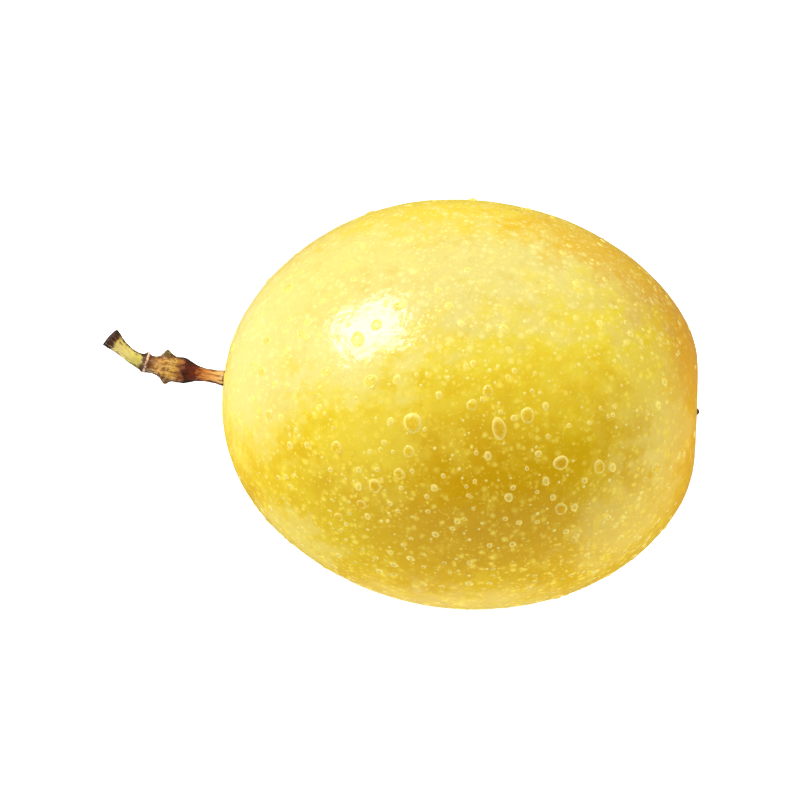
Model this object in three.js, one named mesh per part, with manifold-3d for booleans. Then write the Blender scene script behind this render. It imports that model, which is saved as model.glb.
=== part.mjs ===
// A ripe yellow passion fruit lying on its side, with the dried stalk it was picked by.
// Millimetres, +Z up. +X runs from the stem end to the blossom end.
// The origin is the middle of the small flat spot that the fruit rests on.

import * as THREE from "three";
import { mergeVertices } from "three/addons/utils/BufferGeometryUtils.js";
import Module from "manifold-3d";

// ---------------------------------------------------------------- driving dimensions

// Each half of the fruit is half an ellipsoid, pressed in a little round its pole.
const FRUIT_RADIUS = 34.5;
const STEM_HALF = { length: 41.9, dimpleDepth: 0.44, dimpleWidth: 12.7 };
const BLOSSOM_HALF = { length: 41, dimpleDepth: 2.8, dimpleWidth: 9.5 };
const SIDE_LEAN = -1.46; // the middle line bends sideways by this times u(1 - u²)
const FLAT_SPOT_DEPTH = 0.5;
const FRUIT_SEGMENTS = 60;
const FRUIT_RINGS = 34;

// The stalk grows out a little to one side of the pole and curves upwards.
const STALK_ROOT = new THREE.Vector3(-41.25, 2.8, 1.3); // from the fruit's centre
const STALK_SOCKET = { radius: 1.75, depth: 2.4 };
const STALK_END_GAP = 0.4;
const STEM_SEGMENTS = 16;
const STEM_RINGS = 52;
const STEM_ROUTE = [
  // from the stalk's root, in millimetres
  new THREE.Vector3(2.0, -0.2, -0.25),
  new THREE.Vector3(0, 0, 0),
  new THREE.Vector3(-5.3, 0.52, 0.66),
  new THREE.Vector3(-9.6, 0.97, 1.28),
  new THREE.Vector3(-13.0, 1.35, 1.8),
  new THREE.Vector3(-15.2, 1.9, 2.45),
  new THREE.Vector3(-17.2, 2.85, 3.8),
  new THREE.Vector3(-19.3, 4.1, 5.3),
];
const STEM_RADII = [
  // distance along the stem from the fruit's skin, and the radius there
  [0, 1.25],
  [0.5, 1.3],
  [1.4, 1.12],
  [3.2, 1.1],
  [4.6, 1.32],
  [6.6, 2.15],
  [8.3, 2.15],
  [9.4, 2.25],
  [11.3, 1.62],
  [12.8, 1.5],
  [13.4, 1.75],
  [14.2, 1.42],
  [15.2, 1.24],
  [16.8, 1.18],
  [18.4, 1.26],
  [20.2, 1.68],
  [21.0, 1.75],
];

// The dried flower base: five ridges where the flower's parts fell off, and three bract stubs.
const FLOWER_BASE = { middle: 9.2, halfLength: 3.4, ridges: 5, ridgeHeight: 0.16 };
const BRACT_STUBS = [
  // distance along the stem, angle round it from straight up, radius, how far out it sits
  { along: 10.2, angle: 58, radius: 1.05, out: 1.75 },
  { along: 9.7, angle: 235, radius: 1.1, out: 1.6 },
  { along: 9.9, angle: 150, radius: 0.95, out: 1.55 },
];

// The withered style left on the blossom end, in its shallow pit.
const STYLE_STUB = { baseRadius: 0.95, tipRadius: 0.6, below: 0.5, proud: 0.8 };
const STYLE_PIT = { radius: 1.3, depth: 0.85 };

// ---------------------------------------------------------------- solids

const wasm = await Module();
wasm.setup();

function solidOf(geometry) {
  const bare = geometry.clone();
  bare.deleteAttribute("normal");
  bare.deleteAttribute("uv");
  const merged = mergeVertices(bare, 1e-3);
  return new wasm.Manifold(
    new wasm.Mesh({
      numProp: 3,
      vertProperties: merged.getAttribute("position").array,
      triVerts: new Uint32Array(merged.index.array),
    }),
  );
}

function geometryOf(solid) {
  const mesh = solid.getMesh();
  const geometry = new THREE.BufferGeometry();
  geometry.setAttribute("position", new THREE.BufferAttribute(mesh.vertProperties, 3));
  geometry.setIndex(new THREE.BufferAttribute(mesh.triVerts, 1));
  geometry.computeVertexNormals();
  return geometry;
}

// A pin or a pit along a direction, with its middle at a point.
function roundPin(radius, length, middle, direction) {
  const pin = new THREE.CylinderGeometry(radius, radius, length, 32);
  const turn = new THREE.Quaternion().setFromUnitVectors(new THREE.Vector3(0, 1, 0), direction);
  pin.applyQuaternion(turn);
  pin.translate(middle.x, middle.y, middle.z);
  return solidOf(pin);
}

// ---------------------------------------------------------------- fruit

const fruitCentre = new THREE.Vector3(0, 0, FRUIT_RADIUS - FLAT_SPOT_DEPTH);

// Where the skin is along the axis, at a distance from it, measured from the widest section.
function skinDistance(half, radius) {
  const ellipse = half.length * Math.sqrt(Math.max(0, 1 - (radius / FRUIT_RADIUS) ** 2));
  return ellipse - half.dimpleDepth * Math.exp(-((radius / half.dimpleWidth) ** 2));
}

function fruitProfile() {
  const points = [];
  for (let i = 0; i <= FRUIT_RINGS; i++) {
    const angle = (Math.PI * i) / FRUIT_RINGS;
    const onStemSide = i < FRUIT_RINGS / 2;
    const half = onStemSide ? STEM_HALF : BLOSSOM_HALF;
    const atPole = i === 0 || i === FRUIT_RINGS;
    const radius = atPole ? 0 : FRUIT_RADIUS * Math.sin(angle);
    const along = skinDistance(half, radius);
    points.push(new THREE.Vector2(radius, onStemSide ? -along : along));
  }
  return points;
}

function leanSideways(geometry) {
  const position = geometry.getAttribute("position");
  for (let i = 0; i < position.count; i++) {
    const x = position.getX(i);
    const u = x / (x < 0 ? STEM_HALF.length : BLOSSOM_HALF.length);
    position.setY(i, position.getY(i) + SIDE_LEAN * u * (1 - u * u));
  }
}

function fruitSolid() {
  const body = new THREE.LatheGeometry(fruitProfile(), FRUIT_SEGMENTS);
  body.rotateZ(-Math.PI / 2);
  leanSideways(body);
  body.translate(fruitCentre.x, fruitCentre.y, fruitCentre.z);

  const ground = new THREE.BoxGeometry(4 * FRUIT_RADIUS, 4 * FRUIT_RADIUS, FRUIT_RADIUS);
  ground.translate(0, 0, -FRUIT_RADIUS / 2);

  const stalkPit = roundPin(
    STALK_SOCKET.radius,
    2 * STALK_SOCKET.depth,
    fruitCentre.clone().add(STALK_ROOT),
    stemRoute.getTangentAt(0),
  );
  const stylePit = roundPin(STYLE_PIT.radius, 2 * STYLE_PIT.depth, blossomPole, BLOSSOM_DIRECTION);
  return solidOf(body).subtract(solidOf(ground)).subtract(stalkPit).subtract(stylePit);
}

// ---------------------------------------------------------------- stem

const stemRoute = new THREE.CatmullRomCurve3(
  STEM_ROUTE.map((point) => point.clone().add(STALK_ROOT).add(fruitCentre)),
  false,
  "centripetal",
);
const stemLength = stemRoute.getLength();
const buriedLength = STEM_ROUTE[0].length();

// The stem's radius at a distance from the skin, eased from one station to the next.
function stemRadius(distance) {
  const last = STEM_RADII.length - 1;
  const next = STEM_RADII.findIndex(([station]) => station > distance);
  if (next === 0) return STEM_RADII[0][1];
  if (next < 0) return STEM_RADII[last][1];
  const [before, radiusBefore] = STEM_RADII[next - 1];
  const [after, radiusAfter] = STEM_RADII[next];
  const share = THREE.MathUtils.smoothstep(distance, before, after);
  return THREE.MathUtils.lerp(radiusBefore, radiusAfter, share);
}

function ridgeSwell(distance, angle) {
  const off = (distance - FLOWER_BASE.middle) / FLOWER_BASE.halfLength;
  return FLOWER_BASE.ridgeHeight * Math.exp(-off * off) * Math.cos(FLOWER_BASE.ridges * angle);
}

// A point beside the stem's middle line: how far along, how far out, and the angle from straight up.
function besideStem(along, out, angle) {
  const share = THREE.MathUtils.clamp(along / stemLength, 0, 1);
  const forward = stemRoute.getTangentAt(share);
  const side = new THREE.Vector3().crossVectors(forward, new THREE.Vector3(0, 0, 1)).normalize();
  const up = new THREE.Vector3().crossVectors(side, forward);
  return stemRoute
    .getPointAt(share)
    .addScaledVector(side, out * Math.sin(angle))
    .addScaledVector(up, out * Math.cos(angle));
}

function stemProfile() {
  const points = [new THREE.Vector2(0, STALK_END_GAP)];
  for (let i = 0; i <= STEM_RINGS; i++) {
    const along = THREE.MathUtils.lerp(STALK_END_GAP, stemLength, i / STEM_RINGS);
    points.push(new THREE.Vector2(stemRadius(along - buriedLength), along));
  }
  points.push(new THREE.Vector2(0, stemLength));
  return points;
}

// A straight turned stem, ridged at the flower base and then bent along its route.
function bentStem() {
  const stem = new THREE.LatheGeometry(stemProfile(), STEM_SEGMENTS);
  const position = stem.getAttribute("position");
  for (let i = 0; i < position.count; i++) {
    const along = position.getY(i);
    const angle = Math.atan2(position.getX(i), position.getZ(i));
    const out = Math.hypot(position.getX(i), position.getZ(i));
    const swell = out > 0 ? ridgeSwell(along - buriedLength, angle) : 0;
    const point = besideStem(along, out + swell, angle);
    position.setXYZ(i, point.x, point.y, point.z);
  }
  return solidOf(stem);
}

function bractStub({ along, angle, radius, out }) {
  const stub = new THREE.IcosahedronGeometry(radius, 2);
  const middle = besideStem(along + buriedLength, out, THREE.MathUtils.degToRad(angle));
  stub.translate(middle.x, middle.y, middle.z);
  return solidOf(stub);
}

function stemSolid() {
  return BRACT_STUBS.reduce((stem, stub) => stem.add(bractStub(stub)), bentStem());
}

// ---------------------------------------------------------------- withered style

const BLOSSOM_DIRECTION = new THREE.Vector3(1, 0, 0);
const blossomPole = fruitCentre
  .clone()
  .addScaledVector(BLOSSOM_DIRECTION, skinDistance(BLOSSOM_HALF, 0));

function styleStubGeometry() {
  const { baseRadius, tipRadius, below, proud } = STYLE_STUB;
  const stub = new THREE.LatheGeometry(
    [
      new THREE.Vector2(0, -below),
      new THREE.Vector2(baseRadius, -below),
      new THREE.Vector2(baseRadius, 0),
      new THREE.Vector2(tipRadius, proud * 0.7),
      new THREE.Vector2(tipRadius * 0.6, proud),
      new THREE.Vector2(0, proud),
    ],
    16,
  );
  return stub.rotateZ(-Math.PI / 2);
}

// ---------------------------------------------------------------- scene graph

const skin = new THREE.MeshStandardMaterial({ color: "#ecc94a", roughness: 0.42, metalness: 0 });
const bark = new THREE.MeshStandardMaterial({ color: "#a5702f", roughness: 0.75, metalness: 0 });
const witheredStyle = new THREE.MeshStandardMaterial({ color: "#3a2411", roughness: 0.85, metalness: 0 });

const passionFruit = new THREE.Group();

const fruit = new THREE.Mesh(geometryOf(fruitSolid()), skin);
fruit.name = "fruit";
passionFruit.add(fruit);

const stem = new THREE.Mesh(geometryOf(stemSolid()), bark);
stem.name = "stem";
passionFruit.add(stem);

const styleStub = new THREE.Mesh(styleStubGeometry(), witheredStyle);
styleStub.name = "style_stub";
styleStub.position.copy(blossomPole);
passionFruit.add(styleStub);

export default passionFruit;
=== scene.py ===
"""A ripe yellow passion fruit with its dried stem, wet with water drops, on a pale floor.

Lengths are in millimetres until a mesh is made, in the frame's own axes: +X runs from the stem end
to the blossom end, +Z is up, and the origin is the middle of the flat spot that the fruit rests on.
"""
import math

import bpy
import numpy as np
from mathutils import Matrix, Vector, noise


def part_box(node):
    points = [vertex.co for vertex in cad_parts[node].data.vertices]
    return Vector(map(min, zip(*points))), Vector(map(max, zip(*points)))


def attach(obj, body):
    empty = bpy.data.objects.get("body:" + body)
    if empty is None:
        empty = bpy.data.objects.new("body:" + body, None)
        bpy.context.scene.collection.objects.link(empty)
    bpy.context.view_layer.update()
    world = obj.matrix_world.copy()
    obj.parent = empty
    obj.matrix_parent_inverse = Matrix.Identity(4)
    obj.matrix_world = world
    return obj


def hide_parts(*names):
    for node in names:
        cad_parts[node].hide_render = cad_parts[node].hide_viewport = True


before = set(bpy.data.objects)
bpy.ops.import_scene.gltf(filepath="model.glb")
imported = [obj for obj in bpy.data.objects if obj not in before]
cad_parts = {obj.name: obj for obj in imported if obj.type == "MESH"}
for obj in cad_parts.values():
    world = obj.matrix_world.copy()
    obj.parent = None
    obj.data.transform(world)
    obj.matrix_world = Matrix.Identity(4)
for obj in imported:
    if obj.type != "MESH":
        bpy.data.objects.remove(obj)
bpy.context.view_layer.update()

MM = 0.001
UP = np.array([0.0, 0.0, 1.0])


# ---------------------------------------------------------------- driving dimensions

def box_mm(node):
    """The node's lowest and highest corners, in millimetres."""
    low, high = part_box(node)
    return np.array(low) / MM, np.array(high) / MM


FRUIT_LOW, FRUIT_HIGH = box_mm("fruit")
STYLE_LOW, STYLE_HIGH = box_mm("style_stub")

RADIUS = (FRUIT_HIGH[1] - FRUIT_LOW[1]) / 2
CENTRE = np.array([0.0, 0.0, FRUIT_HIGH[2] - RADIUS])

# Each half of the fruit is half an ellipsoid, pressed in a little round its pole.
STEM_DIMPLE = (0.44, 12.7)
BLOSSOM_DIMPLE = (2.8, 9.5)
BLOSSOM_PRESSED = 2.48
STEM_HALF = STEM_DIMPLE[0] - FRUIT_LOW[0]
BLOSSOM_HALF = BLOSSOM_PRESSED + FRUIT_HIGH[0]
SIDE_LEAN = -1.46
SKIN_CELLS = 120
STALK_ROOT = CENTRE + np.array([-41.25, 2.8, 1.3])
BLOSSOM_POLE = CENTRE + np.array([BLOSSOM_HALF - BLOSSOM_DIMPLE[0], 0.0, 0.0])

# The stem's route from the stalk's root, as in the CAD.
STEM_ROUTE = np.array([
    (2.0, -0.2, -0.25),
    (0, 0, 0),
    (-5.3, 0.52, 0.66),
    (-9.6, 0.97, 1.28),
    (-13.0, 1.35, 1.8),
    (-15.2, 1.9, 2.45),
    (-17.2, 2.85, 3.8),
    (-19.3, 4.1, 5.3),
])


# ---------------------------------------------------------------- small helpers

def unit(vectors):
    """The vectors at length one."""
    return vectors / np.linalg.norm(vectors, axis=-1, keepdims=True)


def smooth_step(low, high, values):
    share = np.clip((values - low) / (high - low), 0, 1)
    return share * share * (3 - 2 * share)


def gentle_waves(points, wavelength, height, count, seed):
    """A smooth, random swell: many faint waves in random directions added up."""
    rng = np.random.default_rng(seed)
    ways = unit(rng.normal(size=(count, 3))) * (2 * math.pi / wavelength)
    phases = rng.uniform(0, 2 * math.pi, count)
    return height * np.cos(points @ ways.T + phases).sum(axis=1) / math.sqrt(count)


def rough_noise(points, size, octaves=3):
    """Fractal noise of about -1 to 1, with lumps of about the given size."""
    return np.array([noise.fractal(Vector(p / size), 0.8, 2.0, octaves) for p in points])


def new_piece(name, points, faces, material, replaced=None):
    """A smooth mesh from points in millimetres, which rides on the fruit's body."""
    mesh = bpy.data.meshes.new(name)
    mesh.from_pydata((points * MM).tolist(), [], faces)
    mesh.shade_smooth()
    mesh.materials.append(material)
    piece = bpy.data.objects.new(name, mesh)
    bpy.context.scene.collection.objects.link(piece)
    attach(piece, "root")
    if replaced:
        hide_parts(replaced)
    return piece


def srgb(red, green, blue):
    """A colour from 0 to 255, as the shader nodes take it."""
    def linear(value):
        value /= 255
        return value / 12.92 if value <= 0.04045 else ((value + 0.055) / 1.055) ** 2.4
    return (linear(red), linear(green), linear(blue), 1.0)


class Shader:
    """One material's nodes."""

    def __init__(self, name):
        self.material = bpy.data.materials.new(name)
        self.material.use_nodes = True
        self.tree = self.material.node_tree
        self.surface = self.tree.nodes["Principled BSDF"]
        self.output = self.tree.nodes["Material Output"]

    def add(self, kind, inputs=(), **settings):
        node = self.tree.nodes.new("ShaderNode" + kind)
        for key, value in settings.items():
            setattr(node, key, value)
        for key, value in dict(inputs).items():
            self.feed(node.inputs[key], value)
        return node

    def feed(self, socket, value):
        """Joins a socket to another node's output, or sets it to a plain value."""
        if isinstance(value, bpy.types.NodeSocket):
            self.tree.links.new(value, socket)
        else:
            socket.default_value = value

    def set(self, **inputs):
        """Feeds the surface's own sockets; an underscore stands for a space."""
        for key, value in inputs.items():
            self.feed(self.surface.inputs[key.replace("_", " ")], value)

    def math(self, operation, *values):
        return self.add("Math", dict(enumerate(values)), operation=operation).outputs[0]

    def vector(self, operation, *values):
        node = self.add("VectorMath", dict(enumerate(values)), operation=operation)
        return node.outputs["Value" if operation == "DISTANCE" else "Vector"]

    def in_millimetres(self):
        coordinates = self.add("TexCoord").outputs["Object"]
        return self.vector("MULTIPLY", coordinates, (1 / MM,) * 3)

    def noise(self, place, size, detail=2.0, roughness=0.5):
        inputs = {"Vector": place, "Scale": 1 / size, "Detail": detail, "Roughness": roughness}
        return self.add("TexNoise", inputs).outputs["Fac"]

    def fade(self, value, start, end, low=0.0, high=1.0):
        """Goes smoothly from low to high as value goes from start to end."""
        inputs = {"Value": value, "From Min": start, "From Max": end, "To Min": low, "To Max": high}
        node = self.add("MapRange", inputs, interpolation_type="SMOOTHSTEP")
        return node.outputs["Result"]

    def blend(self, amount, first, second, how="MIX"):
        node = self.add("Mix", data_type="RGBA", blend_type=how)
        self.feed(node.inputs["Factor"], amount)
        self.feed(node.inputs[6], first)
        self.feed(node.inputs[7], second)
        return node.outputs[2]

    def ramp(self, value, stops):
        """A colour ramp with (place, colour) stops."""
        node = self.add("ValToRGB", {"Fac": value})
        elements = node.color_ramp.elements
        while len(elements) < len(stops):
            elements.new(0.5)
        for element, (place, _) in zip(elements, stops):
            element.position = place
        for element, (_, colour) in zip(elements, stops):
            element.color = colour
        return node.outputs["Color"]

    def nearness(self, place, ragged, offset, along_share, reach, core):
        """1 within the core round a place on the fruit, 0 beyond the reach, longer along the fruit."""
        squeeze = np.array([along_share, 1, 1])
        squeezed = self.vector("MULTIPLY", place, tuple(squeeze))
        middle = tuple((CENTRE + np.array(offset)) * squeeze)
        distance = self.math("ADD", self.vector("DISTANCE", squeezed, middle), ragged)
        return self.fade(distance, reach, core)

    def specks(self, place, spacing, largest, seed):
        """Round specks: 1 in their middle, 0 outside, each with its own radius up to the largest."""
        moved = self.vector("ADD", place, (seed, 2 * seed, 3 * seed))
        cells = self.add("TexVoronoi", {"Vector": moved, "Scale": 1 / spacing})
        distance = self.math("MULTIPLY", cells.outputs["Distance"], spacing)
        own = self.add("SeparateColor", {"Color": cells.outputs["Color"]}).outputs["Red"]
        radius = self.math("MULTIPLY", self.fade(own, 0.0, 1.0, 0.35, 1.0), largest)
        share = self.math("DIVIDE", distance, radius)
        return self.fade(share, 1.0, 0.2)

    def bump(self, height, depth, strength=1.0, normal=None):
        inputs = {"Height": height, "Distance": depth * MM, "Strength": strength}
        if normal:
            inputs["Normal"] = normal
        return self.add("Bump", inputs).outputs["Normal"]


# ---------------------------------------------------------------- fruit: shape

SKIN_SWELLS = [
    # wavelength, height, how many waves, seed
    (34, 0.16, 18, 3),
    (9, 0.022, 24, 5),
    (3.6, 0.014, 40, 8),
]
FLAT_EDGE_SOFTNESS = 0.01


def smooth_fruit(directions):
    """Points on the fruit, before its swells and dimples, for directions out from its middle."""
    along = directions[:, 0]
    radius = RADIUS * np.sqrt(np.clip(1 - along ** 2, 0, 1))
    half = np.where(along < 0, STEM_HALF, BLOSSOM_HALF)
    press = np.where(
        along < 0,
        STEM_DIMPLE[0] * np.exp(-((radius / STEM_DIMPLE[1]) ** 2)),
        BLOSSOM_DIMPLE[0] * np.exp(-((radius / BLOSSOM_DIMPLE[1]) ** 2)),
    )
    x = along * half - np.sign(along) * press
    around = unit(directions[:, 1:] + 1e-9)
    share = x / half
    y = radius * around[:, 0] + SIDE_LEAN * share * (1 - share ** 2)
    z = radius * around[:, 1]
    return np.stack([x, y, z], axis=1) + CENTRE


def skin_swell(points):
    """How far the real skin stands out from the smooth shape."""
    return sum(gentle_waves(points, *swell) for swell in SKIN_SWELLS)


def pucker(points, middle, depth, width, folds, fold_depth):
    """A shallow dimple with fine folds running out from its middle."""
    off = points - middle
    distance = np.linalg.norm(off, axis=1)
    angle = np.arctan2(off[:, 1], off[:, 2])
    dimple = -depth * np.exp(-((distance / width) ** 2))
    fold_place = np.exp(-((distance - 1.3 * width) / width) ** 2)
    wander = 0.8 * np.sin(3 * angle + 1) + 0.5 * np.sin(5 * angle)
    return dimple + fold_depth * fold_place * np.cos(folds * angle + wander)


def skin_points(directions):
    points = smooth_fruit(directions)
    out = unit(points - CENTRE)
    height = skin_swell(points)
    height += pucker(points, STALK_ROOT, 0.3, 3.0, 11, 0.05)
    height += pucker(points, BLOSSOM_POLE, 0.45, 1.6, 9, 0.05)
    points = points + out * height[:, None]
    # The flat spot, with a softly rounded edge.
    z = points[:, 2]
    points[:, 2] = 0.5 * (z + np.sqrt(z * z + FLAT_EDGE_SOFTNESS))
    return points


def cube_directions(cells):
    """Directions over a sphere, as a cube's six grids blown up, and their four-sided faces."""
    steps = np.tan(np.linspace(-math.pi / 4, math.pi / 4, cells + 1))
    first, second = np.meshgrid(steps, steps, indexing="ij")
    ones = np.ones_like(first)
    sides = []
    for axis in range(3):
        for sign in (1, -1):
            grid = [None, None, None]
            grid[axis] = sign * ones
            grid[(axis + 1) % 3] = first * sign
            grid[(axis + 2) % 3] = second
            sides.append(np.stack(grid, axis=-1).reshape(-1, 3))
    corners = np.concatenate(sides)
    whole, place = np.unique(np.round(corners, 7), axis=0, return_inverse=True)
    place = place.reshape(6, cells + 1, cells + 1)
    faces = np.stack(
        [place[:, :-1, :-1], place[:, 1:, :-1], place[:, 1:, 1:], place[:, :-1, 1:]], axis=-1
    )
    return unit(whole), faces.reshape(-1, 4)


def build_fruit():
    directions, faces = cube_directions(SKIN_CELLS)
    points = skin_points(directions)
    return new_piece("fruit_skin", points, faces.tolist(), skin_material(), "fruit")


# ---------------------------------------------------------------- fruit: material

# Deeper and paler areas of the skin, set from the photograph. One photograph can't tell
# the skin's own colour from the light on it, so some of them carry shading, which stays on the
# fruit under any light: the dark gold low on the front, the gold at the right edges and the pale
# areas round the highlight and along the lower left edge.
# Besides the shading above, the gold at the right edges is partly painted reflection of nearby fruit,
# and the pale areas on the right and underneath are painted light.
SKIN_TINTS_AND_PAINTED_LIGHT = [
    # from the fruit's centre, how far the length along the fruit counts, reach, core, strength, colour
    # Painted shade: the dark gold band low on the front.
    ((0, -30, 14), 0.75, 22, 4, 0.64, (212, 160, 4)),
    # Orange at the right edge: partly the skin's blush, partly painted reflection of nearby fruit.
    ((34, 12, 10), 1.0, 28, 6, 0.8, (206, 140, 2)),
    ((24, 29, 4), 0.8, 24, 8, 0.7, (222, 156, 2)),
    # Painted reflection of nearby fruit: gold along the top right edge.
    ((24, 24, 15), 0.7, 14, 4, 0.5, (228, 164, 4)),
    ((-6, 30, -7), 0.6, 30, 8, 0.6, (208, 150, 2)),
    ((-10, 30, 8), 0.6, 33, 9, 0.6, (216, 172, 20)),
    ((-36, 14, -9), 1.0, 22, 6, 0.6, (220, 170, 8)),
    ((-24, -26, 4), 0.8, 18, 5, 0.4, (228, 204, 26)),
    ((0, 25, 24), 0.5, 19, 4, 0.85, (234, 204, 36)),
    # Painted light: pale along the left edge.
    ((-34, -5, 15), 1.0, 18, 5, 0.75, (228, 213, 126)),
    ((-15, -21, 23), 0.7, 13, 3, 0.6, (240, 216, 74)),
    # Painted light: paler on the lower right.
    ((27, -25, 6), 1.0, 15, 4, 0.5, (236, 212, 112)),
    # Painted light: paler on the right.
    ((33, -14, 13), 1.0, 11, 3, 0.5, (236, 212, 112)),
    # Painted bounce light from the floor: paler underneath.
    ((0, -31, -15), 0.7, 18, 6, 0.45, (244, 222, 130)),
    # Painted light: paler on the right.
    ((29, -11, 19), 1.0, 15, 3, 0.4, (236, 214, 110)),
    ((20, 18, 25), 0.6, 13, 4, 0.65, (222, 170, 6)),
    # Painted light: pale along the lower left edge.
    ((-29, -25, -3), 0.7, 10, 3, 0.5, (238, 222, 120)),
    # Painted sheen round the highlight.
    ((-20, -10, 28), 0.6, 11, 3, 0.5, (240, 228, 140)),
]
PORE_KINDS = [
    # spacing, largest radius, strength, seed, whether it is pushed out of round
    (1.65, 0.85, 0.85, 11, True),
    (1.1, 0.5, 0.85, 23, True),
    (0.7, 0.3, 0.6, 37, False),
]


def pale_tone_and_painted_sheen(shader, place, ragged):
    """Pale lemon along the top, most of all near the stalk, and golden away from it.
    The pale side faces the key light: partly the skin's own lemon tone, partly painted sheen.
    """
    broad = shader.fade(shader.noise(place, 22, 2.0), 0.2, 0.8, -0.14, 0.14)
    return shader.math("ADD", shader.nearness(place, ragged, (-20, 12, 25), 0.5, 45, 9), broad)


def ground_colour(shader, place, paleness_and_sheen, on_pale):
    """Golden to lemon yellow, mottled darker and lighter."""
    colour = shader.ramp(paleness_and_sheen, [
        (0.0, srgb(216, 172, 8)),
        (0.25, srgb(229, 194, 20)),
        (0.5, srgb(233, 209, 50)),
        (0.85, srgb(226, 210, 118)),
    ])
    mottle = shader.noise(shader.vector("ADD", place, (40, 0, 0)), 3.2, 4.0, 0.6)
    colour = shader.blend(shader.fade(mottle, 0.5, 0.72, 0, 0.28), colour, srgb(212, 176, 14))
    light = shader.blend(on_pale, srgb(246, 222, 56), srgb(246, 226, 110))
    return shader.blend(shader.fade(mottle, 0.48, 0.28, 0, 0.4), colour, light)


def add_tints_and_painted_light(shader, colour, place, ragged):
    for offset, along_share, reach, core, strength, tint in SKIN_TINTS_AND_PAINTED_LIGHT:
        patch = shader.nearness(place, ragged, offset, along_share, reach, core)
        patch = shader.math("MULTIPLY", patch, strength)
        colour = shader.blend(patch, colour, srgb(*tint))
    return colour


def add_blush_and_clouds(shader, colour, place, along, on_pale):
    """An orange blush at the blossom end and small pale clouds all over."""
    wander = shader.fade(shader.noise(place, 6, 2.0), 0.2, 0.8, -1.5, 1.5)
    blossom_end = shader.fade(shader.math("ADD", along, wander), 31, 40, 0, 0.6)
    colour = shader.blend(blossom_end, colour, srgb(212, 142, 1))
    clouds = shader.noise(shader.vector("MULTIPLY", place, (1, 1, 0.6)), 3.4, 3.0, 0.6)
    cloudy = shader.blend(on_pale, srgb(242, 214, 66), srgb(242, 222, 130))
    return shader.blend(shader.fade(clouds, 0.56, 0.7, 0, 0.4), colour, cloudy)


def skin_pores(shader, place, along, on_pale):
    """Pores of three sizes, fewer in some areas and fainter on pale skin and at the blossom end."""
    uneven = shader.add("TexNoise", {"Vector": place, "Scale": 0.9, "Detail": 1.0}).outputs["Color"]
    uneven = shader.vector("MULTIPLY", shader.vector("SUBTRACT", uneven, (0.5,) * 3), (0.7,) * 3)
    warped = shader.vector("ADD", place, uneven)
    pores = None
    for spacing, largest, strength, seed, out_of_round in PORE_KINDS:
        specks = shader.specks(warped if out_of_round else place, spacing, largest, seed)
        specks = shader.math("MULTIPLY", specks, strength)
        pores = shader.math("MAXIMUM", pores, specks) if pores else specks
    crowd = shader.fade(shader.noise(place, 14, 2.0), 0.35, 0.62, 0.6, 1.0)
    pores = shader.math("MULTIPLY", pores, crowd)
    pores = shader.math("MULTIPLY", pores, shader.fade(along, 29, 37, 1.0, 0.35))
    return shader.math("MULTIPLY", pores, shader.fade(on_pale, 0.0, 1.0, 1.0, 0.6))


def add_pole_stains(shader, colour, place):
    """Brown round the withered style and dull yellow round the stalk."""
    from_style = shader.vector("DISTANCE", place, tuple(BLOSSOM_POLE))
    colour = shader.blend(shader.fade(from_style, 2.6, 0.9), colour, srgb(120, 84, 34))
    from_stalk = shader.vector("DISTANCE", place, tuple(STALK_ROOT))
    return shader.blend(shader.fade(from_stalk, 3.6, 1.6, 0, 0.7), colour, srgb(214, 190, 80))


def skin_material():
    """A waxy yellow rind: golden and lemon patches, some of them painted light and shade, pale pores, a
    faint orange blush.
    """
    shader = Shader("fruit_skin")
    place = shader.in_millimetres()
    along = shader.add("SeparateXYZ", {"Vector": place}).outputs["X"]
    ragged = shader.fade(shader.noise(place, 4.0, 3.0, 0.6), 0.2, 0.8, -4.0, 4.0)
    paleness_and_sheen = pale_tone_and_painted_sheen(shader, place, ragged)
    on_pale = shader.fade(paleness_and_sheen, 0.3, 0.8)

    colour = ground_colour(shader, place, paleness_and_sheen, on_pale)
    colour = add_tints_and_painted_light(shader, colour, place, ragged)
    colour = add_blush_and_clouds(shader, colour, place, along, on_pale)
    pores = skin_pores(shader, place, along, on_pale)
    pore_colour = shader.blend(on_pale, srgb(251, 227, 84), srgb(252, 240, 160))
    colour = shader.blend(pores, colour, pore_colour)
    colour = add_pole_stains(shader, colour, place)

    peel = shader.noise(place, 2.2, 3.0, 0.55)
    normal = shader.bump(peel, 0.14, 1.0)
    normal = shader.bump(pores, 0.03, 0.7, normal)
    roughness = shader.fade(shader.noise(place, 3.0, 3.0), 0.3, 0.7, 0.30, 0.44)

    # All the gloss comes from the coat: a second reflection from the base would pale the rims.
    shader.set(Base_Color=colour, Roughness=roughness, Normal=normal, IOR=1.45, Specular_IOR_Level=0.0)
    shader.set(Subsurface_Weight=0.15, Subsurface_Scale=2.5 * MM, Subsurface_Radius=(1.0, 0.6, 0.15))
    shader.set(Coat_Weight=0.6, Coat_Roughness=0.16, Coat_IOR=1.7, Coat_Normal=normal)
    return shader.material


# ---------------------------------------------------------------- stem: shape

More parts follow.
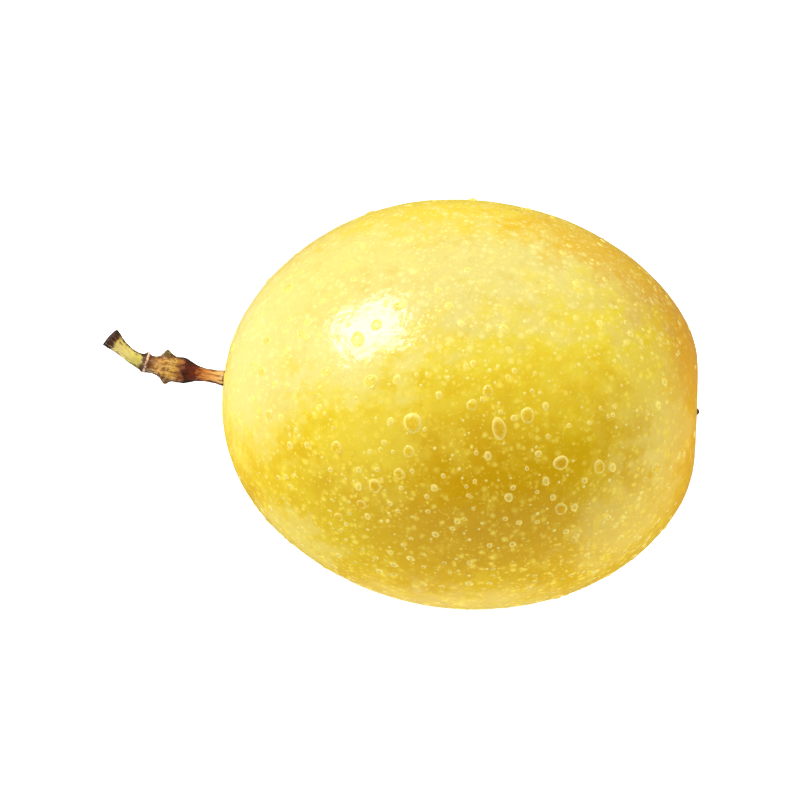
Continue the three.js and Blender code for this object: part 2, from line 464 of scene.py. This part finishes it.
STEM_RINGS = 420
STEM_SIDES = 84
STEM_RADII = [
    # distance along the stem from the fruit's skin, and the radius there
    (-2.1, 1.2), (0.0, 1.35), (0.5, 1.28), (1.3, 1.12), (3.2, 1.1), (4.6, 1.32), (5.8, 1.8),
    (6.6, 2.15), (7.3, 2.2), (8.3, 2.12), (9.4, 2.25), (10.4, 2.05), (11.3, 1.62), (12.2, 1.48),
    (13.0, 1.55), (13.4, 1.75), (13.8, 1.68), (14.2, 1.42), (15.2, 1.24), (16.8, 1.18),
    (18.4, 1.26), (19.4, 1.44), (20.2, 1.68), (21.0, 1.75),
]
STEM_LUMPS = [
    # distance along, angle round from straight up, height, half length, half width in degrees
    (10.2, 58, 0.75, 0.7, 26),
    (9.7, 232, 0.75, 0.8, 24),
    (10.3, 262, 0.5, 0.5, 15),
    (9.9, 150, 0.6, 0.8, 24),
    (8.2, 20, 0.22, 0.6, 16),
    (8.6, 320, 0.3, 0.8, 12),
    (10.8, 345, 0.3, 0.6, 14),
    (11.2, 100, 0.3, 0.5, 20),
    (7.6, 280, 0.25, 0.5, 16),
    (13.5, 75, 0.25, 0.4, 20),
]
CUT_END_RINGS = [
    # share of the stem's width, how deep the ring is sunk into the hollow of the cut
    (0.93, -0.03), (0.8, 0.05), (0.6, 0.16), (0.4, 0.2), (0.2, 0.12),
]


def smooth_route(points, samples):
    """Points and directions at even steps along a smooth curve through the given points."""
    ends = np.concatenate([[2 * points[0] - points[1]], points, [2 * points[-1] - points[-2]]])
    curve = []
    for a, b, c, d in zip(ends[:-3], ends[1:-2], ends[2:-1], ends[3:]):
        knots = np.cumsum([0, *(np.linalg.norm(q - p) ** 0.5 for p, q in ((a, b), (b, c), (c, d)))])
        t = np.linspace(knots[1], knots[2], 40, endpoint=False)[:, None]

        def between(p, q, start, end):
            return ((end - t) * p + (t - start) * q) / (end - start)

        ab = between(a, b, knots[0], knots[1])
        bc = between(b, c, knots[1], knots[2])
        cd = between(c, d, knots[2], knots[3])
        curve.append(between(between(ab, bc, knots[0], knots[2]), between(bc, cd, knots[1], knots[3]),
                             knots[1], knots[2]))
    curve = np.concatenate([*curve, points[-1:]])
    steps = np.concatenate([[0], np.cumsum(np.linalg.norm(np.diff(curve, axis=0), axis=1))])
    even = np.linspace(0, steps[-1], samples)
    places = np.stack([np.interp(even, steps, curve[:, k]) for k in range(3)], axis=1)
    return places, unit(np.gradient(places, axis=0)), even


def angle_between(first, second):
    return (first - second + math.pi) % (2 * math.pi) - math.pi


def stem_radius(along, angle):
    """The stem's radius at a distance from the skin and an angle round it from straight up."""
    stations, radii = zip(*STEM_RADII)
    radius = np.interp(along, stations, radii)

    on_stalk = smooth_step(0.3, 1.5, along) * smooth_step(7.0, 5.0, along)
    radius += 0.05 * on_stalk * np.cos(7 * angle + 0.25 * along)
    on_base = np.exp(-(((along - 9.4) / 2.2) ** 4))
    radius += 0.15 * on_base * np.cos(5 * angle + 0.5)
    on_peduncle = smooth_step(14.5, 16.0, along)
    radius += 0.035 * on_peduncle * np.cos(6 * angle - 0.2 * along)

    for place, turn, height, length, width in STEM_LUMPS:
        off = ((along - place) / length) ** 2
        off += (angle_between(angle, math.radians(turn)) / math.radians(width)) ** 2
        radius += height * np.exp(-off)

    straight = np.stack([np.sin(angle) * 2, np.cos(angle) * 2, along], axis=1)
    coarse = rough_noise(straight, 1.5)
    fibrous = rough_noise(straight * np.array([1, 1, 0.16]), 0.5)
    radius += (0.03 + 0.17 * on_base) * coarse
    radius += (0.028 + 0.03 * on_base) * fibrous
    ragged = smooth_step(20.4, 21.2, along)
    return radius + 0.08 * ragged * coarse


def build_stem():
    places, forwards, even = smooth_route(STEM_ROUTE + STALK_ROOT, STEM_RINGS)
    buried = np.linalg.norm(STEM_ROUTE[0])
    along = even - buried
    sides = unit(np.cross(forwards, UP))
    ups = np.cross(sides, forwards)
    angles = np.linspace(0, 2 * math.pi, STEM_SIDES, endpoint=False)

    ring_along = np.repeat(along, STEM_SIDES)
    ring_angle = np.tile(angles, STEM_RINGS)
    radius = stem_radius(ring_along, ring_angle)
    across = np.sin(ring_angle) * radius
    upward = np.cos(ring_angle) * radius
    points = (
        np.repeat(places, STEM_SIDES, axis=0)
        + np.repeat(sides, STEM_SIDES, axis=0) * across[:, None]
        + np.repeat(ups, STEM_SIDES, axis=0) * upward[:, None]
    )
    straight = np.stack([across, upward, ring_along], axis=1)

    # Rings that close the cut end, one point in its middle, and one point at the root.
    last = points[-STEM_SIDES:]
    last_straight = straight[-STEM_SIDES:]
    middle = places[-1]
    for share, sink in CUT_END_RINGS:
        ring = middle + (last - middle) * share - forwards[-1] * sink
        points = np.concatenate([points, ring])
        inner = last_straight * np.array([share, share, 1]) - np.array([0, 0, sink])
        straight = np.concatenate([straight, inner])
    points = np.concatenate([points, [middle - forwards[-1] * 0.08], [places[0]]])
    straight = np.concatenate([straight, [(0, 0, along[-1])], [(0, 0, along[0])]])

    stem = new_piece("stem_with_flower_base", points, stem_faces(len(points)), stem_material(),
                     "stem")
    layer = stem.data.attributes.new("straight", "FLOAT_VECTOR", "POINT")
    layer.data.foreach_set("vector", straight.astype(np.float32).ravel())


def stem_faces(points):
    """The faces between the rings, and those round the last two points, for a number of points."""
    rings = (points - 2) // STEM_SIDES
    faces = []
    for ring in range(rings - 1):
        for side in range(STEM_SIDES):
            a = ring * STEM_SIDES + side
            b = ring * STEM_SIDES + (side + 1) % STEM_SIDES
            faces.append((a, a + STEM_SIDES, b + STEM_SIDES, b))
    tip, root = points - 2, points - 1
    start = (rings - 1) * STEM_SIDES
    for side in range(STEM_SIDES):
        following = (side + 1) % STEM_SIDES
        faces.append((start + side, tip, start + following))
        faces.append((following, root, side))
    return faces


# ---------------------------------------------------------------- stem: material

def stem_material():
    """Dried plant fibre: a tan stalk, a maroon flare, a brown flower base, a pale stem, a dark cut."""
    shader = Shader("stem_bark")
    straight = shader.add("Attribute", attribute_name="straight").outputs["Vector"]
    parts = shader.add("SeparateXYZ", {"Vector": straight})
    wander = shader.noise(straight, 0.8, 3.0)
    along = shader.math("ADD", parts.outputs["Z"], shader.fade(wander, 0.2, 0.8, -0.5, 0.5))

    length = 21.5
    stops = [
        (0.0, (110, 60, 22)),
        (0.5, (244, 196, 124)),
        (1.8, (232, 164, 80)),
        (4.0, (190, 104, 34)),
        (4.9, (110, 16, 8)),
        (6.9, (72, 3, 5)),
        (7.5, (160, 92, 30)),
        (9.0, (218, 164, 66)),
        (11.2, (200, 138, 56)),
        (12.9, (112, 58, 24)),
        (14.1, (96, 66, 20)),
        (15.0, (210, 194, 82)),
        (17.5, (246, 228, 130)),
        (19.6, (238, 212, 118)),
        (20.1, (84, 40, 16)),
        (21.3, (54, 26, 12)),
    ]
    share = shader.math("DIVIDE", along, length)
    colour = shader.ramp(share, [(at / length, srgb(*tint)) for at, tint in stops])

    # Painted shade: darker down the two sides that form the stem's outline, seen from the camera.
    turn = shader.math("ARCTAN2", parts.outputs["X"], parts.outputs["Y"])
    painted_side_shade = shader.math("COSINE", shader.math("MULTIPLY_ADD", turn, 2.0, 1.1))
    painted_side_shade = shader.math("ADD", painted_side_shade, shader.fade(wander, 0.2, 0.8, -0.6, 0.6))
    colour = shader.blend(shader.fade(painted_side_shade, 0.2, -0.7, 0, 0.9), colour, srgb(96, 58, 16), "MULTIPLY")

    stretched = shader.vector("MULTIPLY", straight, (1, 1, 0.14))
    fibres = shader.noise(stretched, 0.42, 3.0, 0.6)
    colour = shader.blend(shader.fade(fibres, 0.53, 0.68, 0, 0.7), colour, srgb(84, 40, 12), "MULTIPLY")
    off_flare = shader.fade(shader.math("ABSOLUTE", shader.math("SUBTRACT", along, 6.1)), 0.8, 2.0)
    pale_fibres = shader.math("MULTIPLY", off_flare, shader.fade(fibres, 0.46, 0.32, 0, 0.4))
    colour = shader.blend(pale_fibres, colour, srgb(250, 220, 150))

    on_base = shader.math("MULTIPLY", shader.fade(along, 7.6, 8.6), shader.fade(along, 13.0, 11.6))
    crumbs = shader.noise(straight, 0.55, 4.0, 0.65)
    dark = shader.math("MULTIPLY", on_base, shader.fade(crumbs, 0.5, 0.68, 0, 0.85))
    colour = shader.blend(dark, colour, srgb(92, 54, 16))
    light = shader.math("MULTIPLY", on_base, shader.fade(crumbs, 0.46, 0.34, 0, 0.6))
    colour = shader.blend(light, colour, srgb(232, 188, 92))

    to_ring = shader.math("ABSOLUTE", shader.math("SUBTRACT", parts.outputs["Z"], 13.4))
    scar = shader.math("MULTIPLY", shader.fade(to_ring, 0.26, 0.12), shader.fade(crumbs, 0.6, 0.5))
    colour = shader.blend(scar, colour, srgb(250, 206, 176))

    mossy = shader.vector("DISTANCE", straight, (1.9, 1.2, 10.2))
    colour = shader.blend(shader.fade(mossy, 1.3, 0.5, 0, 0.8), colour, srgb(92, 88, 30))

    normal = shader.bump(fibres, 0.12, 0.7)
    normal = shader.bump(crumbs, 0.1, 0.5, normal)
    shader.set(Base_Color=colour, Roughness=shader.fade(fibres, 0.3, 0.7, 0.5, 0.8), Normal=normal)
    return shader.material


# ---------------------------------------------------------------- withered style

def build_style():
    """A ragged nub of dried fibre in the pit at the blossom end."""
    sides, rings = 40, 26
    base = 0.5 * (STYLE_HIGH[1] - STYLE_LOW[1])
    bottom = STYLE_LOW[0]
    height = STYLE_HIGH[0] - bottom
    middle = (STYLE_LOW + STYLE_HIGH) / 2
    shares = np.repeat(np.linspace(0, 1, rings), sides)
    angles = np.tile(np.linspace(0, 2 * math.pi, sides, endpoint=False), rings)
    radius = base * (1.05 - 0.5 * shares ** 1.5) * np.sqrt(np.clip(1 - shares ** 6, 0, 1))
    place = np.stack([shares * 3, np.sin(angles), np.cos(angles)], axis=1)
    radius *= 1 + 0.22 * rough_noise(place, 0.6)
    x = bottom + height * shares * (1 - 0.1 * np.cos(3 * angles + 1) * shares)
    y = middle[1] + radius * np.sin(angles)
    z = middle[2] + radius * np.cos(angles)
    points = np.concatenate([np.stack([x, y, z], axis=1), [(bottom, middle[1], middle[2])]])
    faces = []
    for ring in range(rings - 1):
        for side in range(sides):
            a = ring * sides + side
            b = ring * sides + (side + 1) % sides
            faces.append((a, b, b + sides, a + sides))
    faces += [(side, len(points) - 1, (side + 1) % sides) for side in range(sides)]
    faces.append(tuple((rings - 1) * sides + side for side in range(sides)))
    return new_piece("withered_style", points, faces, style_material(), "style_stub")


def style_material():
    shader = Shader("withered_style")
    place = shader.in_millimetres()
    crumbs = shader.noise(place, 0.4, 4.0, 0.6)
    colour = shader.ramp(crumbs, [
        (0.3, srgb(24, 14, 8)),
        (0.55, srgb(66, 42, 20)),
        (0.75, srgb(112, 80, 42)),
    ])
    shader.set(Base_Color=colour, Normal=shader.bump(crumbs, 0.15, 0.8))
    shader.set(Roughness=shader.fade(crumbs, 0.3, 0.7, 0.65, 0.95))
    return shader.material


# ---------------------------------------------------------------- water drops

DROP_SEED = 12
DROP_KINDS = {
    # how many, smallest and largest radius, height over radius, sides, rings, painted rim light at the
    # middle
    "large": (18, 0.8, 1.25, 0.38, 30, 9, 0.1),
    "medium": (400, 0.34, 0.72, 0.28, 16, 6, 0.58),
    "fine": (400, 0.2, 0.34, 0.26, 9, 4, 0.85),
}
CHOSEN_DROPS = [
    # how far along the fruit, degrees round it from the top towards the front, radius, stretch
    (-8.5, 38, 1.6, 1.0),
    (5.5, 38, 1.15, 1.6),
    (10.0, 34, 1.15, 1.1),
    (-18.0, 14, 1.25, 1.0),
    (-15.0, 10, 1.0, 1.0),
    (-15.5, 27, 1.2, 1.1),
    (-23.0, 24, 0.95, 1.0),
    (-21.0, 48, 1.0, 1.1),
    (-9.0, 46, 0.85, 1.2),
    (-10.5, 53, 0.95, 1.0),
    (1.0, 32, 0.9, 1.0),
    (3.5, 28, 0.85, 1.1),
    (-14.5, 58, 1.05, 1.2),
    (22.0, 50, 1.0, 1.2),
]
DRY_NEAR_STALK = 6.0
DRY_NEAR_STYLE = 4.0
DRY_BELOW = 5.0


def chosen_direction(along, degrees):
    """The direction of a skin place from how far along it is and its angle from the top."""
    half = STEM_HALF if along < 0 else BLOSSOM_HALF
    share = along / half
    across = math.sqrt(1 - share ** 2)
    turn = math.radians(degrees)
    return (share, -across * math.sin(turn), across * math.cos(turn))


def place_drops():
    """Each drop as its kind, direction from the fruit's middle, radius, stretch and height ratio."""
    rng = np.random.default_rng(DROP_SEED)
    drops = [("large", chosen_direction(along, turn), size, stretch, DROP_KINDS["large"][3])
             for along, turn, size, stretch in CHOSEN_DROPS]
    centres = skin_points(np.array([drop[1] for drop in drops]))
    reaches = np.array([drop[2] * drop[3] for drop in drops])
    for kind, (count, smallest, largest, tall, *_) in DROP_KINDS.items():
        for _ in range(count):
            while True:
                direction = unit(rng.normal(size=3))
                size = smallest + (largest - smallest) * rng.random() ** 2
                stretch = 1 + 0.35 * rng.random() ** 3
                centre = skin_points(direction[None])[0]
                gaps = np.linalg.norm(centres - centre, axis=1) - reaches - size * stretch
                if gaps.min() > 0.25 * size and is_wet(centre, rng.random()):
                    break
            drops.append((kind, direction, size, stretch, tall * rng.uniform(0.85, 1.15)))
            centres = np.concatenate([centres, centre[None]])
            reaches = np.append(reaches, size * stretch)
    return drops


def is_wet(centre, chance):
    """Drops cling all over the front; few hang on the back, the underside and the two ends."""
    if np.linalg.norm(centre - STALK_ROOT) < DRY_NEAR_STALK:
        return False
    if np.linalg.norm(centre - BLOSSOM_POLE) < DRY_NEAR_STYLE:
        return False
    front = smooth_step(18.0, -4.0, centre[1])
    off_ends = smooth_step(38.0, 31.0, abs(centre[0]))
    wetness = smooth_step(DRY_BELOW, 24.0, centre[2]) * (0.25 + 0.75 * front) * (0.1 + 0.9 * off_ends)
    return chance < wetness


def skin_normal(direction):
    """The way out of the skin, from two small steps beside the direction."""
    side = unit(np.cross(direction, UP if abs(direction[2]) < 0.9 else np.array([1.0, 0, 0])))
    other = np.cross(direction, side)
    step = 0.01
    near = skin_points(unit(np.array([direction, direction + step * side, direction + step * other])))
    return unit(np.cross(near[1] - near[0], near[2] - near[0]))


def drop_axes(rng, direction, centre):
    """The ways out of the skin, downhill and sideways for one drop, and how steep the skin is."""
    out = skin_normal(direction)
    if out @ (centre - CENTRE) < 0:
        out = -out
    downhill = -UP + out * out[2]
    steep = np.linalg.norm(downhill)
    if steep < 0.2:
        downhill = unit(np.cross(out, rng.normal(size=3)))
        steep = 0
    downhill = unit(downhill)
    return out, downhill, np.cross(out, downhill), steep


def drop_mesh(rng, kind, direction, size, stretch, tall):
    """One drop: a rounded cap whose rim dips into the skin, closed underneath."""
    sides, rings, middle_rim_light = DROP_KINDS[kind][4:]
    direction = unit(np.array(direction))
    centre = skin_points(direction[None])[0]
    out, downhill, sideways, steep = drop_axes(rng, direction, centre)

    height = tall * size
    ball = (size * size + height * height) / (2 * height)
    rim = 0.07 + 0.02 * size
    widest = math.acos((ball - height - rim) / ball)
    angles = np.linspace(0, 2 * math.pi, sides, endpoint=False)
    wobble = 1 + 0.05 * np.cos(2 * angles + rng.uniform(0, 6))
    wobble = wobble + 0.03 * np.cos(3 * angles + rng.uniform(0, 6))
    points = [centre + out * height]
    # The share of painted rim light: the middle's share at the crown, rising to full at the rim.
    rim_light_shares = [middle_rim_light]
    for ring in range(1, rings + 1):
        rim_light_shares += [middle_rim_light + (1 - middle_rim_light) * ring / rings] * sides
        slope = widest * ring / rings
        reach = ball * math.sin(slope) * wobble
        lift = ball * math.cos(slope) - (ball - height)
        down = reach * np.cos(angles) * stretch + 0.12 * steep * lift
        side = reach * np.sin(angles)
        bend = (down ** 2 + side ** 2) / (2 * RADIUS * 1.1)
        points.extend(
            centre + downhill * d + sideways * s + out * (lift - b) for d, s, b in zip(down, side, bend)
        )
    points.append(centre - out * 2 * rim)
    rim_light_shares.append(1.0)

    faces = [(0, 1 + side, 1 + (side + 1) % sides) for side in range(sides)]
    for ring in range(rings - 1):
        for side in range(sides):
            a = 1 + ring * sides + side
            b = 1 + ring * sides + (side + 1) % sides
            faces.append((a, a + sides, b + sides, b))
    start, last = 1 + (rings - 1) * sides, len(points) - 1
    faces += [(start + side, last, start + (side + 1) % sides) for side in range(sides)]
    return points, faces, rim_light_shares


def build_drops():
    rng = np.random.default_rng(DROP_SEED + 1)
    material = water_material()
    drops = place_drops()
    for kind in DROP_KINDS:
        points, faces, rim_light_shares = [], [], []
        for drop in (drop for drop in drops if drop[0] == kind):
            own_points, own_faces, own_rim_light_shares = drop_mesh(rng, *drop)
            faces += [tuple(len(points) + corner for corner in face) for face in own_faces]
            points += own_points
            rim_light_shares += own_rim_light_shares
        piece = new_piece("water_drops_" + kind, np.array(points), faces, material)
        # The painted rim light at each point, for the water's shader.
        layer = piece.data.attributes.new("rim", "FLOAT", "POINT")
        layer.data.foreach_set("value", rim_light_shares)


def water_material():
    """Clear in the middle; towards the rim, partly opaque pale yellow, painted light for the light a
    drop's rim bends and reflects.

    Light that bounces off other things passes straight through, so the skin below a drop stays lit.
    """
    shader = Shader("water")
    rim = shader.add("Attribute", attribute_name="rim").outputs["Fac"]
    # The pale, partly opaque rim is painted light.
    clearness = shader.fade(rim, 0.45, 0.95, 0.96, 0.25)
    shader.set(Base_Color=srgb(255, 240, 138), Roughness=0.0, IOR=1.33, Transmission_Weight=clearness)
    shader.set(Specular_IOR_Level=0.3)
    clear = shader.add("BsdfTransparent").outputs["BSDF"]
    path = shader.add("LightPath").outputs
    seen = shader.surface.outputs["BSDF"]
    for ray in ("Is Diffuse Ray", "Is Shadow Ray"):
        seen = shader.add("MixShader", {0: path[ray], 1: seen, 2: clear}).outputs["Shader"]
    shader.feed(shader.output.inputs["Surface"], seen)
    return shader.material


# ---------------------------------------------------------------- floor, light and camera

def build_floor():
    shader = Shader("floor")
    # The floor's own glow lifts the shadow. Its reflection is held back, as by a polarising filter.
    mirrored = shader.add("LightPath").outputs["Is Glossy Ray"]
    colour = shader.blend(mirrored, (0.9, 0.9, 0.9, 1), (0.05, 0.05, 0.05, 1))
    glow = shader.math("SUBTRACT", 0.92, shader.math("MULTIPLY", mirrored, 0.8))
    shader.set(Base_Color=colour, Roughness=1.0, Specular_IOR_Level=0.0)
    shader.set(Emission_Color=(1, 1, 1, 1), Emission_Strength=glow)
    shader.material.cycles.emission_sampling = "NONE"
    mesh = bpy.data.meshes.new("floor")
    reach = 4.0
    corners = [(-reach, -reach, 0), (reach, -reach, 0), (reach, reach, 0), (-reach, reach, 0)]
    mesh.from_pydata(corners, [], [(0, 1, 2, 3)])
    mesh.materials.append(shader.material)
    floor = bpy.data.objects.new("floor", mesh)
    bpy.context.scene.collection.objects.link(floor)


def add_area_light(name, direction, distance, width, height, power):
    light = bpy.data.lights.new(name, "AREA")
    light.shape = "RECTANGLE"
    light.size = width
    light.size_y = height
    light.energy = power
    lamp = bpy.data.objects.new(name, light)
    target = Vector(CENTRE * MM)
    lamp.location = target + Vector(direction).normalized() * distance
    lamp.rotation_euler = (target - lamp.location).to_track_quat("-Z", "Y").to_euler()
    bpy.context.scene.collection.objects.link(lamp)
    return lamp


def build_lights():
    key = add_area_light("key_softbox", (-0.588, 0.238, 0.775), 1.2, 0.52, 0.62, 14.8)
    key.rotation_euler.rotate_axis("Z", math.radians(35))
    fill = add_area_light("right_fill", (0.85, 0.15, 0.5), 1.6, 1.8, 1.8, 17)
    fill.visible_glossy = False
    bpy.context.scene.view_settings.view_transform = "Standard"


def build_world():
    """A white room that is brighter overhead than at the sides."""
    world = bpy.data.worlds.new("white_room")
    world.use_nodes = True
    tree = world.node_tree
    background = tree.nodes["Background"]
    background.inputs["Color"].default_value = (1, 1, 1, 1)
    direction = tree.nodes.new("ShaderNodeTexCoord").outputs["Generated"]
    parts = tree.nodes.new("ShaderNodeSeparateXYZ")
    tree.links.new(direction, parts.inputs["Vector"])
    overhead = tree.nodes.new("ShaderNodeMapRange")
    overhead.interpolation_type = "SMOOTHSTEP"
    tree.links.new(parts.outputs["Z"], overhead.inputs["Value"])
    for socket, value in (("From Min", 0.25), ("From Max", 0.95), ("To Min", 0.05), ("To Max", 0.4)):
        overhead.inputs[socket].default_value = value
    # Seen directly, the room is as white as the floor, so no horizon shows.
    strength = tree.nodes.new("ShaderNodeMath")
    strength.operation = "MAXIMUM"
    tree.links.new(overhead.outputs["Result"], strength.inputs[0])
    tree.links.new(tree.nodes.new("ShaderNodeLightPath").outputs["Is Camera Ray"], strength.inputs[1])
    tree.links.new(strength.outputs["Value"], background.inputs["Strength"])
    bpy.context.scene.world = world


def build_camera():
    """The photograph's viewing angle: looking down on the fruit, with the stem at the left."""
    turn, rise = math.radians(-2.2), math.radians(58)
    distance = 0.9
    shown_width = 0.135
    camera_data = bpy.data.cameras.new("camera")
    camera_data.sensor_width = 36
    camera_data.lens = camera_data.sensor_width * distance / shown_width
    camera = bpy.data.objects.new("camera", camera_data)
    towards = Vector((math.sin(turn) * math.cos(rise), math.cos(turn) * math.cos(rise), -math.sin(rise)))
    middle = Vector((-0.0114, 0.0003, CENTRE[2] * MM + 0.0002))
    camera.location = middle - towards * distance
    camera.rotation_euler = towards.to_track_quat("-Z", "Y").to_euler()
    bpy.context.scene.collection.objects.link(camera)
    bpy.context.scene.camera = camera


build_camera()
build_lights()
build_world()
build_floor()
build_fruit()
build_stem()
build_style()
build_drops()
